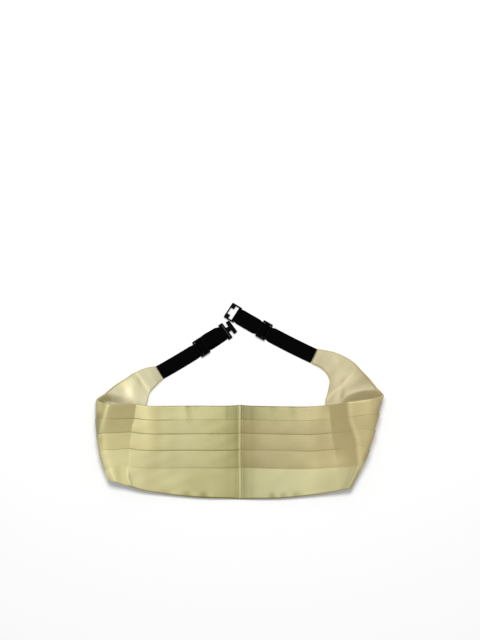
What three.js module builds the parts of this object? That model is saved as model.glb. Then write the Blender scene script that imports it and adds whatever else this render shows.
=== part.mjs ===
// Pleated satin cummerbund, laid on its back with both ends folded beneath it.
// Millimetres, +Z up. The front panel faces up, +Y points from its bottom edge to its top edge and on to the straps.
import * as THREE from 'three';

// Cloth: driving dimensions
const PANEL_HEIGHT = 118;    // front panel beside the centre seam, top edge to bottom edge
const HALF_LENGTH = 184;     // centre seam to the outermost point of a fold
const FOLD_HEIGHT = 24;      // surface to the top of the rounded folds
const SATIN_WALL = 2;        // pleated satin on its stiffener
const LINING_WALL = 1;       // smooth inner face
const LINING_INSET = 1.5;    // edge of the satin to the edge of the lining
const PLEAT_STEP = 0.9;      // height of a folded pleat edge over the band above it
const PLEAT_RISER = 0.6;     // width over which that step is made
const SEAM_RIDGE = 1.1;      // height of the rolled edge at the centre seam
const GAP = 0.3;             // clearance between pieces that touch
const TOP_EDGE_LIFT = 0.4;   // height of the top edge over plain satin, as a share of PLEAT_STEP
const PLEAT_FADE = 0.1;      // length over which a pleat fades at the bottom edge, as a share of PANEL_HEIGHT
const CLOTH_STEP = 5.5;      // longest facet along the cloth
const STRAP_STEP = 16;       // longest facet along a strap
const SAMPLE = 0.02;         // share of a section over which a direction is measured
const LEAST_SQUARE = 0.7;    // sine of the sharpest slant at which pleats still widen

// Straps and clasp: driving dimensions
const STRAP_WIDTH = 18;
const STRAP_WALL = 1;
const HARD_WALL = 1.4;       // thickness of slides, hook and loop
const SIDE_RAIL = 2.3;       // rails beside the strap in a slide and in the hook
const LOOP_RAIL = 1.7;       // rails beside the strap in the loop
const SLIDE_BAR = 1.6;       // outer bars of a slide
const SLIDE_MIDDLE = 2;      // middle bar of a slide
const SLIDE_WINDOW = 4;      // opening between the bars of a slide
const CLASP_BAR = 2.4;       // bar that the strap is folded round
const HOOK_PLATE = 2.2;
const HOOK_NECK_WIDTH = 6.5;
const HOOK_NECK_LENGTH = 3.8;
const HOOK_CROSS_LENGTH = 18.4;
const HOOK_CROSS_WIDTH = 5.2;
const LOOP_WIDE_SLOT = 4.4;
const LOOP_NARROW_SLOT = 4.3;
const LOOP_NARROW_WIDTH = 9;
const LOOP_OUTER_BAR = 1.6;
const CORNER = 0.8;          // corner radius of the hard pieces

// Folded pleat edges, as shares of the panel height down from its top edge
const PLEATS = [0.168, 0.325, 0.51, 0.7];

// Sections of each half, from the centre seam outward, round the fold and back along the wing to the strap.
// Lengths outward (x) are shares of HALF_LENGTH and lengths along Y are shares of PANEL_HEIGHT. A rise of 0 lies on
// the surface, 1 is the top of the fold. bow moves the middle of a section outward.
const SECTIONS = {
  left: [
    { part: 'front', topX: 0.000, topY: 0.014, topRise: 0.04, endX: 0.000, endY: -0.996, endRise: 0.04, bow: 0 },
    { part: 'front', topX: 0.080, topY: 0.002, topRise: 0.00, endX: 0.075, endY: -0.992, endRise: 0.00, bow: 0 },
    { part: 'front', topX: 0.300, topY: 0.000, topRise: 0.00, endX: 0.270, endY: -0.984, endRise: 0.00, bow: 0 },
    { part: 'front', topX: 0.510, topY: -0.006, topRise: 0.08, endX: 0.505, endY: -0.948, endRise: 0.04, bow: 0 },
    { part: 'front', topX: 0.625, topY: -0.010, topRise: 0.25, endX: 0.650, endY: -0.915, endRise: 0.20, bow: 0 },
    { part: 'front', topX: 0.705, topY: 0.007, topRise: 0.36, endX: 0.750, endY: -0.873, endRise: 0.32, bow: 0.030 },
    { part: 'front', topX: 0.900, topY: -0.012, topRise: 1.00, endX: 0.857, endY: -0.823, endRise: 0.60, bow: 0.055 },
    { part: 'fold', topX: 0.963, topY: 0.050, topRise: 0.50, endX: 0.878, endY: -0.790, endRise: 0.22, bow: 0.030 },
    { part: 'wing', topX: 0.919, topY: 0.131, topRise: 0.00, endX: 0.845, endY: -0.755, endRise: 0.00, bow: 0.025 },
    { part: 'wing', topX: 0.845, topY: 0.232, topRise: 0.00, endX: 0.763, endY: -0.490, endRise: 0.00, bow: 0 },
    { part: 'wing', topX: 0.778, topY: 0.300, topRise: 0.00, endX: 0.691, endY: -0.214, endRise: 0.00, bow: 0 },
    { part: 'wing', topX: 0.741, topY: 0.345, topRise: 0.00, endX: 0.632, endY: 0.030, endRise: 0.00, bow: 0 },
    { part: 'wing', topX: 0.703, topY: 0.374, topRise: 0.00, endX: 0.613, endY: 0.143, endRise: 0.00, bow: 0 },
    { part: 'wing', topX: 0.642, topY: 0.416, topRise: 0.00, endX: 0.569, endY: 0.224, endRise: 0.00, bow: 0 },
    { part: 'wing', topX: 0.578, topY: 0.434, topRise: 0.00, endX: 0.523, endY: 0.297, endRise: 0.00, bow: 0 },
  ],
  right: [
    { part: 'front', topX: 0.000, topY: 0.014, topRise: 0.04, endX: 0.000, endY: -0.996, endRise: 0.04, bow: 0 },
    { part: 'front', topX: 0.075, topY: 0.002, topRise: 0.00, endX: 0.075, endY: -0.996, endRise: 0.00, bow: 0 },
    { part: 'front', topX: 0.292, topY: -0.008, topRise: 0.00, endX: 0.275, endY: -0.992, endRise: 0.00, bow: 0 },
    { part: 'front', topX: 0.489, topY: -0.012, topRise: 0.10, endX: 0.456, endY: -0.966, endRise: 0.05, bow: 0 },
    { part: 'front', topX: 0.590, topY: -0.004, topRise: 0.27, endX: 0.576, endY: -0.943, endRise: 0.15, bow: 0 },
    { part: 'front', topX: 0.729, topY: 0.010, topRise: 0.82, endX: 0.690, endY: -0.915, endRise: 0.35, bow: 0.067 },
    { part: 'front', topX: 0.917, topY: 0.053, topRise: 1.00, endX: 0.728, endY: -0.900, endRise: 0.50, bow: 0.046 },
    { part: 'fold', topX: 0.965, topY: 0.108, topRise: 0.50, endX: 0.745, endY: -0.865, endRise: 0.20, bow: 0.008 },
    { part: 'wing', topX: 0.933, topY: 0.188, topRise: 0.00, endX: 0.713, endY: -0.820, endRise: 0.00, bow: 0 },
    { part: 'wing', topX: 0.900, topY: 0.260, topRise: 0.00, endX: 0.662, endY: -0.500, endRise: 0.00, bow: 0 },
    { part: 'wing', topX: 0.870, topY: 0.320, topRise: 0.00, endX: 0.610, endY: -0.220, endRise: 0.00, bow: 0 },
    { part: 'wing', topX: 0.833, topY: 0.383, topRise: 0.00, endX: 0.579, endY: 0.037, endRise: 0.00, bow: 0 },
    { part: 'wing', topX: 0.786, topY: 0.465, topRise: 0.00, endX: 0.597, endY: 0.152, endRise: 0.00, bow: 0 },
    { part: 'wing', topX: 0.736, topY: 0.523, topRise: 0.00, endX: 0.609, endY: 0.293, endRise: 0.00, bow: 0 },
    { part: 'wing', topX: 0.644, topY: 0.588, topRise: 0.00, endX: 0.564, endY: 0.400, endRise: 0.00, bow: 0 },
    { part: 'wing', topX: 0.530, topY: 0.625, topRise: 0.00, endX: 0.486, endY: 0.469, endRise: 0.00, bow: 0 },
  ],
};

// Place of the loop's end of its strap, as shares of HALF_LENGTH and PANEL_HEIGHT
const LOOP_PLACE = { xShare: -0.034, yShare: 1.013 };

// Each strap: how far the middle of its far end lies beside and before the loop's, how far its middle hangs below a
// straight line as a share of its length, and the place of its slide as a share of its length
const STRAPS = {
  left: { beside: 11.408, before: 22.42, sagShare: 0.015, slideAt: 0.62 },
  right: { beside: 0, before: 0, sagShare: 0.016, slideAt: 0.625 },
};

const SIDES = { left: -1, right: 1 };

// Materials
const material = (color, roughness, metalness = 0) => new THREE.MeshStandardMaterial({ color, roughness, metalness });
const satin = material(0xcdc494, 0.42);
const liningCloth = material(0xe2d9b4, 0.5);
const elastic = material(0x101010, 0.85);
const blackPlastic = material(0x0b0b0c, 0.35);

// A closed solid between two grids of points of the same size, one for each face of a sheet
function sheetSolid(outer, inner) {
  const rows = outer.length;
  const columns = outer[0].length;
  const positions = [];
  for (const grid of [outer, inner]) {
    for (const row of grid) {
      for (const p of row) positions.push(p.x, p.y, p.z);
    }
  }
  const at = (face, i, j) => face * rows * columns + i * columns + j;
  const indices = [];
  const quad = (a, b, c, d) => indices.push(a, b, c, a, c, d);
  for (let i = 0; i < rows - 1; i++) {
    for (let j = 0; j < columns - 1; j++) {
      quad(at(0, i, j), at(0, i, j + 1), at(0, i + 1, j + 1), at(0, i + 1, j));
      quad(at(1, i, j), at(1, i + 1, j), at(1, i + 1, j + 1), at(1, i, j + 1));
    }
    quad(at(0, i, 0), at(0, i + 1, 0), at(1, i + 1, 0), at(1, i, 0));
    quad(at(0, i, columns - 1), at(1, i, columns - 1), at(1, i + 1, columns - 1), at(0, i + 1, columns - 1));
  }
  for (let j = 0; j < columns - 1; j++) {
    quad(at(0, 0, j), at(1, 0, j), at(1, 0, j + 1), at(0, 0, j + 1));
    quad(at(0, rows - 1, j), at(0, rows - 1, j + 1), at(1, rows - 1, j + 1), at(1, rows - 1, j));
  }
  if (signedVolume(positions, indices) < 0) indices.reverse();
  const geometry = new THREE.BufferGeometry();
  geometry.setAttribute('position', new THREE.Float32BufferAttribute(positions, 3));
  geometry.setIndex(indices);
  geometry.computeVertexNormals();
  return geometry;
}

// Six times the volume inside a closed mesh, negative where its faces point inward
function signedVolume(positions, indices) {
  const corner = (n) => new THREE.Vector3().fromArray(positions, 3 * indices[n]);
  let total = 0;
  for (let n = 0; n < indices.length; n += 3) {
    total += corner(n).dot(corner(n + 1).cross(corner(n + 2)));
  }
  return total;
}

// One half of the band as a surface between satin and lining: sections joined by smooth curves
function bandHalf(side) {
  const sign = SIDES[side];
  const rows = SECTIONS[side];
  const lowest = {
    front: LINING_WALL + GAP,
    fold: SATIN_WALL + PLEAT_STEP + GAP / 2,
    wing: SATIN_WALL + PLEAT_STEP + GAP / 2,
  };
  const highest = FOLD_HEIGHT - SATIN_WALL - PLEAT_STEP - GAP / 2;
  const point = (row, x, y, rise) => {
    const floor = lowest[row.part];
    return new THREE.Vector3(sign * x * HALF_LENGTH, y * PANEL_HEIGHT, floor + rise * (highest - floor));
  };
  const tops = rows.map((row) => point(row, row.topX, row.topY, row.topRise));
  const ends = rows.map((row) => point(row, row.endX, row.endY, row.endRise));
  const middles = rows.map((row, n) => {
    const middle = tops[n].clone().add(ends[n]).multiplyScalar(0.5);
    middle.x += sign * row.bow * HALF_LENGTH;
    return middle;
  });
  const curve = (points) => new THREE.CatmullRomCurve3(points, false, 'centripetal');
  const [topCurve, middleCurve, endCurve] = [tops, middles, ends].map(curve);
  const last = rows.length - 1;

  // The point a share v down the section at place s, where s counts sections from the seam
  const surface = (s, v) => {
    const place = THREE.MathUtils.clamp(s / last, 0, 1);
    const top = topCurve.getPoint(place);
    const middle = middleCurve.getPoint(place);
    const end = endCurve.getPoint(place);
    const p = top.multiplyScalar((1 - v) * (1 - 2 * v));
    p.addScaledVector(middle, 4 * v * (1 - v)).addScaledVector(end, v * (2 * v - 1));
    const before = Math.min(Math.floor(s), last - 1);
    const low = THREE.MathUtils.lerp(lowest[rows[before].part], lowest[rows[before + 1].part], s - before);
    p.z = Math.max(p.z, low);
    return p;
  };

  // The direction out of the satin side
  const normal = (s, v) => {
    const along = surface(Math.min(s + SAMPLE, last), v).sub(surface(Math.max(s - SAMPLE, 0), v));
    const down = surface(s, Math.min(v + SAMPLE, 1)).sub(surface(s, Math.max(v - SAMPLE, 0)));
    return along.cross(down).multiplyScalar(-sign).normalize();
  };

  const width = (s) => surface(s, 0).distanceTo(surface(s, 1));

  // A length measured square to the top edge is longer along a slanting section
  const slant = (s) => {
    const along = surface(Math.min(s + SAMPLE, last), 0).sub(surface(Math.max(s - SAMPLE, 0), 0)).normalize();
    const down = surface(s, 1).sub(surface(s, 0)).normalize();
    return 1 / Math.max(along.cross(down).length(), LEAST_SQUARE);
  };

  const stations = [];
  for (let n = 0; n < last; n++) {
    const length = Math.max(tops[n].distanceTo(tops[n + 1]), middles[n].distanceTo(middles[n + 1]));
    const steps = Math.ceil(length / CLOTH_STEP);
    for (let k = 0; k < steps; k++) stations.push(n + k / steps);
  }
  stations.push(last);
  return { sign, last, surface, normal, width, slant, stations };
}

// Places across the band with their height over the plain satin: bands that start high at a folded edge and run out
function pleatProfile(band, s) {
  const total = band.width(s);
  const slant = band.slant(s);
  const knots = [{ depth: 0, height: TOP_EDGE_LIFT }];
  for (const share of PLEATS) {
    const depth = share * PANEL_HEIGHT * slant;
    const room = THREE.MathUtils.clamp((total - depth) / (PLEAT_FADE * PANEL_HEIGHT), 0, 1);
    knots.push({ depth: depth - PLEAT_RISER, height: 0, fold: true });
    knots.push({ depth, height: room });
  }
  const lastPleat = knots[knots.length - 1];
  knots.push({ depth: (lastPleat.depth + total) / 2, height: lastPleat.height / 2 });
  knots.push({ depth: total, height: 0 });
  const left = (n) => (knots.length - 1 - n) * PLEAT_RISER;
  return knots.map((knot, n) => ({
    share: Math.min(knot.depth, total - left(n)) / total,
    height: knot.height * PLEAT_STEP,
    fold: knot.fold,
  }));
}

// Pleated satin half: outer face with stepped pleats and the rolled edge at the seam, inner face smooth
function panelGeometry(band) {
  const outer = [];
  const inner = [];
  band.stations.forEach((s, n) => {
    const rolled = n === 0 ? SEAM_RIDGE : 0;
    const outerRow = [];
    const innerRow = [];
    for (const { share, height } of pleatProfile(band, s)) {
      const base = band.surface(s, share);
      if (n === 0) base.x += band.sign * GAP / 2;
      const out = band.normal(s, share);
      outerRow.push(base.clone().addScaledVector(out, GAP / 2 + SATIN_WALL + height + rolled));
      innerRow.push(base.clone().addScaledVector(out, GAP / 2));
    }
    outer.push(outerRow);
    inner.push(innerRow);
  });
  return sheetSolid(outer, inner);
}

// Smooth lining, a little smaller than the satin all round, with a column of facets for each pleat
function liningGeometry(band) {
  const outer = [];
  const inner = [];
  band.stations.forEach((s, n) => {
    const inset = LINING_INSET / band.width(s);
    const before = n === 0 ? LINING_INSET : 0;
    const outerRow = [];
    const innerRow = [];
    for (const { share, fold } of pleatProfile(band, s)) {
      if (fold) continue;
      const inside = THREE.MathUtils.lerp(inset, 1 - inset, share);
      const base = band.surface(s, inside);
      base.x += band.sign * before;
      const out = band.normal(s, inside);
      outerRow.push(base.clone().addScaledVector(out, -GAP / 2));
      innerRow.push(base.clone().addScaledVector(out, -GAP / 2 - LINING_WALL));
    }
    outer.push(outerRow);
    inner.push(innerRow);
  });
  return sheetSolid(outer, inner);
}

// The strap's middle line in plan, from the wing's end to the clasp, as a curve with the strap's own frame
function strapLine(side, band) {
  const { beside, before, sagShare } = STRAPS[side];
  const start = band.surface(band.last, 0).add(band.surface(band.last, 1)).multiplyScalar(0.5);
  const end = new THREE.Vector3(LOOP_PLACE.xShare * HALF_LENGTH, LOOP_PLACE.yShare * PANEL_HEIGHT, 0);
  end.x -= beside;
  end.y -= before;
  start.z = 0;
  const bend = start.clone().add(end).multiplyScalar(0.5);
  bend.y -= 2 * sagShare * start.distanceTo(end);
  const curve = new THREE.QuadraticBezierCurve3(start, bend, end);
  const length = curve.getLength();
  const frame = (u) => {
    const share = THREE.MathUtils.clamp(u / length, 0, 1);
    const origin = curve.getPointAt(share);
    const along = curve.getTangentAt(share);
    origin.addScaledVector(along, u - share * length);
    const across = new THREE.Vector3(-along.y, along.x, 0);
    return { origin, along, across };
  };
  return { length, frame };
}

// Heights of what lies on each other along a strap
const BAR_LEVEL = STRAP_WALL + GAP;                               // underside of the clasp's bar
const SLIDE_LEVEL = 2 * STRAP_WALL + 2 * GAP;                     // underside of a slide
const FOLD_ROOM = STRAP_WALL + 2 * GAP;                           // slot that the folded strap takes up
const SLIDE_LENGTH = 2 * SLIDE_BAR + 2 * SLIDE_WINDOW + SLIDE_MIDDLE;
const HARD_WIDTH = STRAP_WIDTH + 2 * GAP + 2 * SIDE_RAIL;

// Points of a path that turns clockwise round a bar's corners at an even reach, where quarter 0 is the upper far corner
function roundBar(bar, reach, fromQuarter, toQuarter) {
  const points = [];
  for (let quarter = fromQuarter; quarter >= toQuarter; quarter--) {
    const middle = (quarter + 0.5) * Math.PI / 2;
    const cornerU = bar.u + Math.sign(Math.cos(middle)) * bar.halfWidth;
    const cornerZ = bar.z + Math.sign(Math.sin(middle)) * HARD_WALL / 2;
    for (const share of [1, 0.5, 0]) {
      const turn = (quarter + share) * Math.PI / 2;
      points.push([cornerU + reach * Math.cos(turn), cornerZ + reach * Math.sin(turn)]);
    }
  }
  return points;
}

// Points along a level stretch, close enough together to follow the strap's bend in plan
function level(fromU, toU, z) {
  const steps = Math.ceil(Math.abs(toU - fromU) / STRAP_STEP);
  return Array.from({ length: steps + 1 }, (_, n) => [THREE.MathUtils.lerp(fromU, toU, n / steps), z]);
}

// Where the strap eases from one level to the next: beyond the side of a bar or wrap and above or below a level, both
// as shares of STRAP_WALL
const EASE = {
  ontoSlide: { beyond: 0.3, below: 1.1 },
  offSlide: { beyond: 0.1, above: 0.4 },
  fromSlide: { beyond: 0.6, below: 0.5 },
  backToSlide: { within: 1, above: 1 },
};
const CLASP_LEAD = 2;          // bar widths before the clasp's bar where the strap starts to rise
const CLASP_RISE = 0.4;        // share of its clearance that the strap has risen one bar width before that bar
const LIFT_UNDER_SLIDE = 1.1;  // half walls above the surface where the returning strap reaches the slide's bar

// Side view of the strap as points (u, z): flat from the wing, under the slide's first bar, over its middle bar, under
// its last bar, round the clasp's bar and back underneath to the slide's middle bar, which it wraps
function strapRoute(length, slideAt) {
  const { ontoSlide, offSlide, fromSlide, backToSlide } = EASE;
  const half = STRAP_WALL / 2;
  const close = GAP + half;
  const second = STRAP_WALL + GAP + half;
  const slide = { u: slideAt * length, z: SLIDE_LEVEL + HARD_WALL / 2, halfWidth: SLIDE_MIDDLE / 2 };
  const clasp = { u: length - FOLD_ROOM - CLASP_BAR / 2, z: BAR_LEVEL + HARD_WALL / 2, halfWidth: CLASP_BAR / 2 };
  const over = close + STRAP_WALL + GAP;
  const side = slide.halfWidth + over;
  const inner = SLIDE_LENGTH / 2 - SLIDE_BAR;
  const route = [
    ...level(GAP, slide.u - inner, half),
    [slide.u - side - ontoSlide.beyond * STRAP_WALL, SLIDE_LEVEL - ontoSlide.below * STRAP_WALL],
    ...roundBar(slide, over, 1, 0),
    [slide.u + side + offSlide.beyond * STRAP_WALL, SLIDE_LEVEL + offSlide.above * STRAP_WALL],
    [slide.u + side + fromSlide.beyond * STRAP_WALL, SLIDE_LEVEL - fromSlide.below * STRAP_WALL],
    ...level(slide.u + inner, clasp.u - CLASP_LEAD * CLASP_BAR, second),
    [clasp.u - CLASP_BAR, BAR_LEVEL + HARD_WALL + CLASP_RISE * close],
    ...roundBar(clasp, close, 0, -1),
    ...level(clasp.u - CLASP_BAR, slide.u + inner, half),
    [slide.u + side, LIFT_UNDER_SLIDE * half],
    [slide.u + side - backToSlide.within * STRAP_WALL, backToSlide.above * STRAP_WALL],
    ...roundBar(slide, close, 2, 0),
  ];
  return route.map(([u, z]) => new THREE.Vector3(u, 0, z));
}

// Webbing of even thickness along its side view, bent in plan to the strap's line
function strapGeometry(side, line) {
  const stepsEach = 2;
  const route = new THREE.CatmullRomCurve3(strapRoute(line.length, STRAPS[side].slideAt), false, 'centripetal');
  const count = (route.points.length - 1) * stepsEach;
  const upper = [];
  const lower = [];
  for (let n = 0; n <= count; n++) {
    const middle = route.getPoint(n / count);
    const tangent = route.getTangent(n / count);
    const out = new THREE.Vector3(-tangent.z, 0, tangent.x);
    for (const [grid, offset] of [[upper, STRAP_WALL / 2], [lower, -STRAP_WALL / 2]]) {
      const p = middle.clone().addScaledVector(out, offset);
      const { origin, across } = line.frame(p.x);
      grid.push([-1, 1].map((hand) => new THREE.Vector3(
        origin.x + hand * across.x * STRAP_WIDTH / 2,
        origin.y + hand * across.y * STRAP_WIDTH / 2,
        Math.max(p.z, 0),
      )));
    }
  }
  return sheetSolid(upper, lower);
}

// A closed outline through corners, in plan: x across the strap, y along it
function outline(target, corners) {
  corners.forEach(([x, y], n) => (n === 0 ? target.moveTo(x, y) : target.lineTo(x, y)));
  target.closePath();
  return target;
}

// A rectangle with rounded corners
function rounded(x0, y0, x1, y1, radius) {
  const shape = new THREE.Shape();
  shape.moveTo(x0 + radius, y0);
  shape.lineTo(x1 - radius, y0);
  shape.absarc(x1 - radius, y0 + radius, radius, -Math.PI / 2, 0, false);
  shape.lineTo(x1, y1 - radius);
  shape.absarc(x1 - radius, y1 - radius, radius, 0, Math.PI / 2, false);
  shape.lineTo(x0 + radius, y1);
  shape.absarc(x0 + radius, y1 - radius, radius, Math.PI / 2, Math.PI, false);
  shape.lineTo(x0, y0 + radius);
  shape.absarc(x0 + radius, y0 + radius, radius, Math.PI, 1.5 * Math.PI, false);
  return shape;
}

const plate = (shape) => new THREE.ExtrudeGeometry(shape, { depth: HARD_WALL, bevelEnabled: false, curveSegments: 3 });

// Slide: a frame with a middle bar, centred on its own middle
function slideGeometry() {
  const x = HARD_WIDTH / 2;
  const y = SLIDE_LENGTH / 2;
  const shape = rounded(-x, -y, x, y, CORNER);
  const inside = x - SIDE_RAIL;
  for (const hand of [-1, 1]) {
    const near = hand * SLIDE_MIDDLE / 2;
    const far = hand * (y - SLIDE_BAR);
    shape.holes.push(outline(new THREE.Path(), [[-inside, near], [inside, near], [inside, far], [-inside, far]]));
  }
  return plate(shape);
}

// Hook: bar for the strap, slot, plate, neck and cross bar, with the plate's inner edge at y = 0
function hookGeometry() {
  const x = HARD_WIDTH / 2;
  const neck = HOOK_NECK_WIDTH / 2;
  const cross = HOOK_CROSS_LENGTH / 2;
  const inside = x - SIDE_RAIL;
  const crossStart = HOOK_PLATE + HOOK_NECK_LENGTH;
  const crossEnd = crossStart + HOOK_CROSS_WIDTH;
  const back = -FOLD_ROOM - CLASP_BAR;
  const shape = outline(new THREE.Shape(), [
    [-x, back], [x, back], [x, HOOK_PLATE - CORNER], [x - CORNER, HOOK_PLATE], [neck, HOOK_PLATE],
    [neck, crossStart], [cross, crossStart], [cross, crossEnd - CORNER], [cross - CORNER, crossEnd],
    [-cross + CORNER, crossEnd], [-cross, crossEnd - CORNER], [-cross, crossStart], [-neck, crossStart],
    [-neck, HOOK_PLATE], [-x + CORNER, HOOK_PLATE], [-x, HOOK_PLATE - CORNER],
  ]);
  shape.holes.push(outline(new THREE.Path(), [[-inside, -FOLD_ROOM], [inside, -FOLD_ROOM], [inside, 0], [-inside, 0]]));
  return plate(shape);
}

// Loop: bar for the strap and a T-shaped opening, wide beside the folded strap, narrow towards the outer bar
function loopGeometry() {
  const inside = STRAP_WIDTH / 2 + GAP;
  const x = inside + LOOP_RAIL;
  const narrow = LOOP_NARROW_WIDTH / 2;
  const wideEnd = LOOP_WIDE_SLOT;
  const narrowEnd = wideEnd + LOOP_NARROW_SLOT;
  const shape = rounded(-x, -FOLD_ROOM - CLASP_BAR, x, narrowEnd + LOOP_OUTER_BAR, CORNER);
  shape.holes.push(outline(new THREE.Path(), [
    [-inside, -FOLD_ROOM], [inside, -FOLD_ROOM], [inside, wideEnd], [narrow, wideEnd],
    [narrow, narrowEnd], [-narrow, narrowEnd], [-narrow, wideEnd], [-inside, wideEnd],
  ]));
  return plate(shape);
}

// A hard piece laid flat on the strap's line at u, its own +Y along the strap
function placeOnStrap(mesh, line, u, level) {
  const { origin, along } = line.frame(u);
  mesh.position.set(origin.x, origin.y, level);
  mesh.rotation.z = Math.atan2(along.y, along.x) - Math.PI / 2;
  return mesh;
}

function namedMesh(name, geometry, surface) {
  const mesh = new THREE.Mesh(geometry, surface);
  mesh.name = name;
  return mesh;
}

// Everything on one side of the centre seam
function halfBelt(side) {
  const half = new THREE.Group();
  const band = bandHalf(side);
  const line = strapLine(side, band);
  half.add(namedMesh(`panel_${side}`, panelGeometry(band), satin));
  half.add(namedMesh(`lining_${side}`, liningGeometry(band), liningCloth));
  half.add(namedMesh(`strap_${side}`, strapGeometry(side, line), elastic));
  const slide = namedMesh(`slide_${side}`, slideGeometry(), blackPlastic);
  half.add(placeOnStrap(slide, line, STRAPS[side].slideAt * line.length, SLIDE_LEVEL));
  const clasp = side === 'left'
    ? namedMesh('t_hook', hookGeometry(), blackPlastic)
    : namedMesh('hook_loop', loopGeometry(), blackPlastic);
  half.add(placeOnStrap(clasp, line, line.length, BAR_LEVEL));
  return half;
}

// The origin is the middle of the object's box, on the surface it lies on
function cummerbund() {
  const object = new THREE.Group();
  for (const side of Object.keys(SIDES)) object.add(halfBelt(side));
  object.updateMatrixWorld(true);
  const box = new THREE.Box3().setFromObject(object, true);
  const centre = box.getCenter(new THREE.Vector3());
  object.position.set(-centre.x, -centre.y, -box.min.z);
  return object;
}

export default cummerbund();
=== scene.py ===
"""Pleated satin cummerbund laid on its back with both ends folded beneath it, seen from above.

The cloth is built on the solids' surfaces: sections from the centre seam outward, round the fold and back
along the wing. Lengths in the tables are millimetres, and X and Y count from the top of the centre seam.
"""
import math
from collections import namedtuple

import bpy
import numpy as np
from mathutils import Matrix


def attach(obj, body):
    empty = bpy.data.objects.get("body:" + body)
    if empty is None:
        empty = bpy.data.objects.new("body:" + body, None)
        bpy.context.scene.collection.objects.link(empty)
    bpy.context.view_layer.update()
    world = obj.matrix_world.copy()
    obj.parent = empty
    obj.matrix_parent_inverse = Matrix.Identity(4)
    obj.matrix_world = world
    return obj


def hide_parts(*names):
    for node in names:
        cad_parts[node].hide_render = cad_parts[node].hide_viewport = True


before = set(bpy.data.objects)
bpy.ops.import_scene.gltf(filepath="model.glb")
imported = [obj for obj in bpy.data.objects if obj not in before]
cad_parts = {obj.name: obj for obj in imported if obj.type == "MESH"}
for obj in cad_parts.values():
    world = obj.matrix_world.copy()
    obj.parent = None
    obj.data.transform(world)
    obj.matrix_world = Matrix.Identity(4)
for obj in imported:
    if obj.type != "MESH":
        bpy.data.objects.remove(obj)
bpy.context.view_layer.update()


def rows(columns, *table):
    """Rows of a table with named columns."""
    row = namedtuple("Row", columns)
    return [row(*values) for values in table]


def of_side(table, side):
    return [row for row in table if row.side == side]


# Sizes as the solids have them, in millimetres
MM = 0.001          # metres
PANEL_HEIGHT = 118
HALF_LENGTH = 184
FOLD_HEIGHT = 24
SATIN_WALL = 2
LINING_WALL = 1
LINING_INSET = 0.5
PLEAT_STEP = 0.9
GAP = 0.3
STRAP_WIDTH = 18
STRAP_WALL = 1
HARD_WALL = 1.4
SLIDE_BAR = 1.6
SLIDE_MIDDLE = 2
SLIDE_WINDOW = 4
CLASP_BAR = 2.4
SEAM_PLACE = np.array([0.22, -8.24, 0])     # top of the centre seam in the object's frame
PLEATS = [0.159, 0.309, 0.486, 0.674]       # folded edges, as shares of the panel's height
SIDES = {"left": -1, "right": 1}

# Sections of each half from the seam outward. Their ends are shares of the half's length, the panel's height
# and the room under the fold, and the bow of their middle is a share of the half's length
SECTIONS = {
    "left": rows(
        "top end bow",
        ((0.000, 0.014, 0.04), (0.000, -0.996, 0.04), 0),
        ((0.080, 0.002, 0), (0.075, -0.992, 0), 0),
        ((0.300, 0.000, 0), (0.270, -0.984, 0), 0),
        ((0.510, -0.006, 0.08), (0.505, -0.948, 0.04), 0),
        ((0.625, -0.010, 0.25), (0.650, -0.915, 0.20), 0),
        ((0.705, 0.007, 0.36), (0.750, -0.873, 0.32), 0.030),
        ((0.900, -0.012, 1.00), (0.857, -0.823, 0.60), 0.055),
        ((0.963, 0.050, 0.50), (0.878, -0.790, 0.22), 0.030),
        ((0.919, 0.131, 0), (0.845, -0.755, 0), 0.025),
        ((0.845, 0.232, 0), (0.763, -0.490, 0), 0),
        ((0.778, 0.300, 0), (0.691, -0.214, 0), 0),
        ((0.741, 0.345, 0), (0.632, 0.030, 0), 0),
        ((0.703, 0.374, 0), (0.613, 0.143, 0), 0),
        ((0.642, 0.416, 0), (0.569, 0.224, 0), 0),
        ((0.578, 0.434, 0), (0.523, 0.297, 0), 0),
    ),
    "right": rows(
        "top end bow",
        ((0.000, 0.014, 0.04), (0.000, -0.996, 0.04), 0),
        ((0.075, 0.002, 0), (0.075, -0.996, 0), 0),
        ((0.292, -0.008, 0), (0.275, -0.992, 0), 0),
        ((0.489, -0.012, 0.10), (0.456, -0.966, 0.05), 0),
        ((0.590, -0.004, 0.27), (0.576, -0.943, 0.15), 0),
        ((0.729, 0.010, 0.82), (0.690, -0.915, 0.35), 0.067),
        ((0.917, 0.053, 1.00), (0.728, -0.900, 0.50), 0.046),
        ((0.965, 0.108, 0.50), (0.745, -0.865, 0.20), 0.008),
        ((0.933, 0.188, 0), (0.713, -0.820, 0), 0),
        ((0.900, 0.260, 0), (0.662, -0.500, 0), 0),
        ((0.870, 0.320, 0), (0.610, -0.220, 0), 0),
        ((0.833, 0.383, 0), (0.579, 0.037, 0), 0),
        ((0.786, 0.465, 0), (0.597, 0.152, 0), 0),
        ((0.736, 0.523, 0), (0.609, 0.293, 0), 0),
        ((0.644, 0.588, 0), (0.564, 0.400, 0), 0),
        ((0.530, 0.625, 0), (0.486, 0.469, 0), 0),
    ),
}
FOLD_ROW = 7        # the fold's section in both halves

# Between which sections the front's form fades out, the wing's form sets in and the wing lifts
FRONT_ENDS = (FOLD_ROW - 1.9, FOLD_ROW - 0.7)
WING_BEGINS = (FOLD_ROW + 0.8, FOLD_ROW + 2)
LIFT_BEGINS = (FOLD_ROW - 0.1, FOLD_ROW + 0.7)

# The straps in plan: their ends as shares of the half's length and the panel's height, and their sag and the
# slide's place as shares of their own length
Strap = namedtuple("Strap", "end_x end_y sag slide_at")
STRAPS = {
    "left": Strap(-0.096, 0.823, 0.015, 0.62),
    "right": Strap(-0.034, 1.013, 0.016, 0.625),
}

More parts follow.
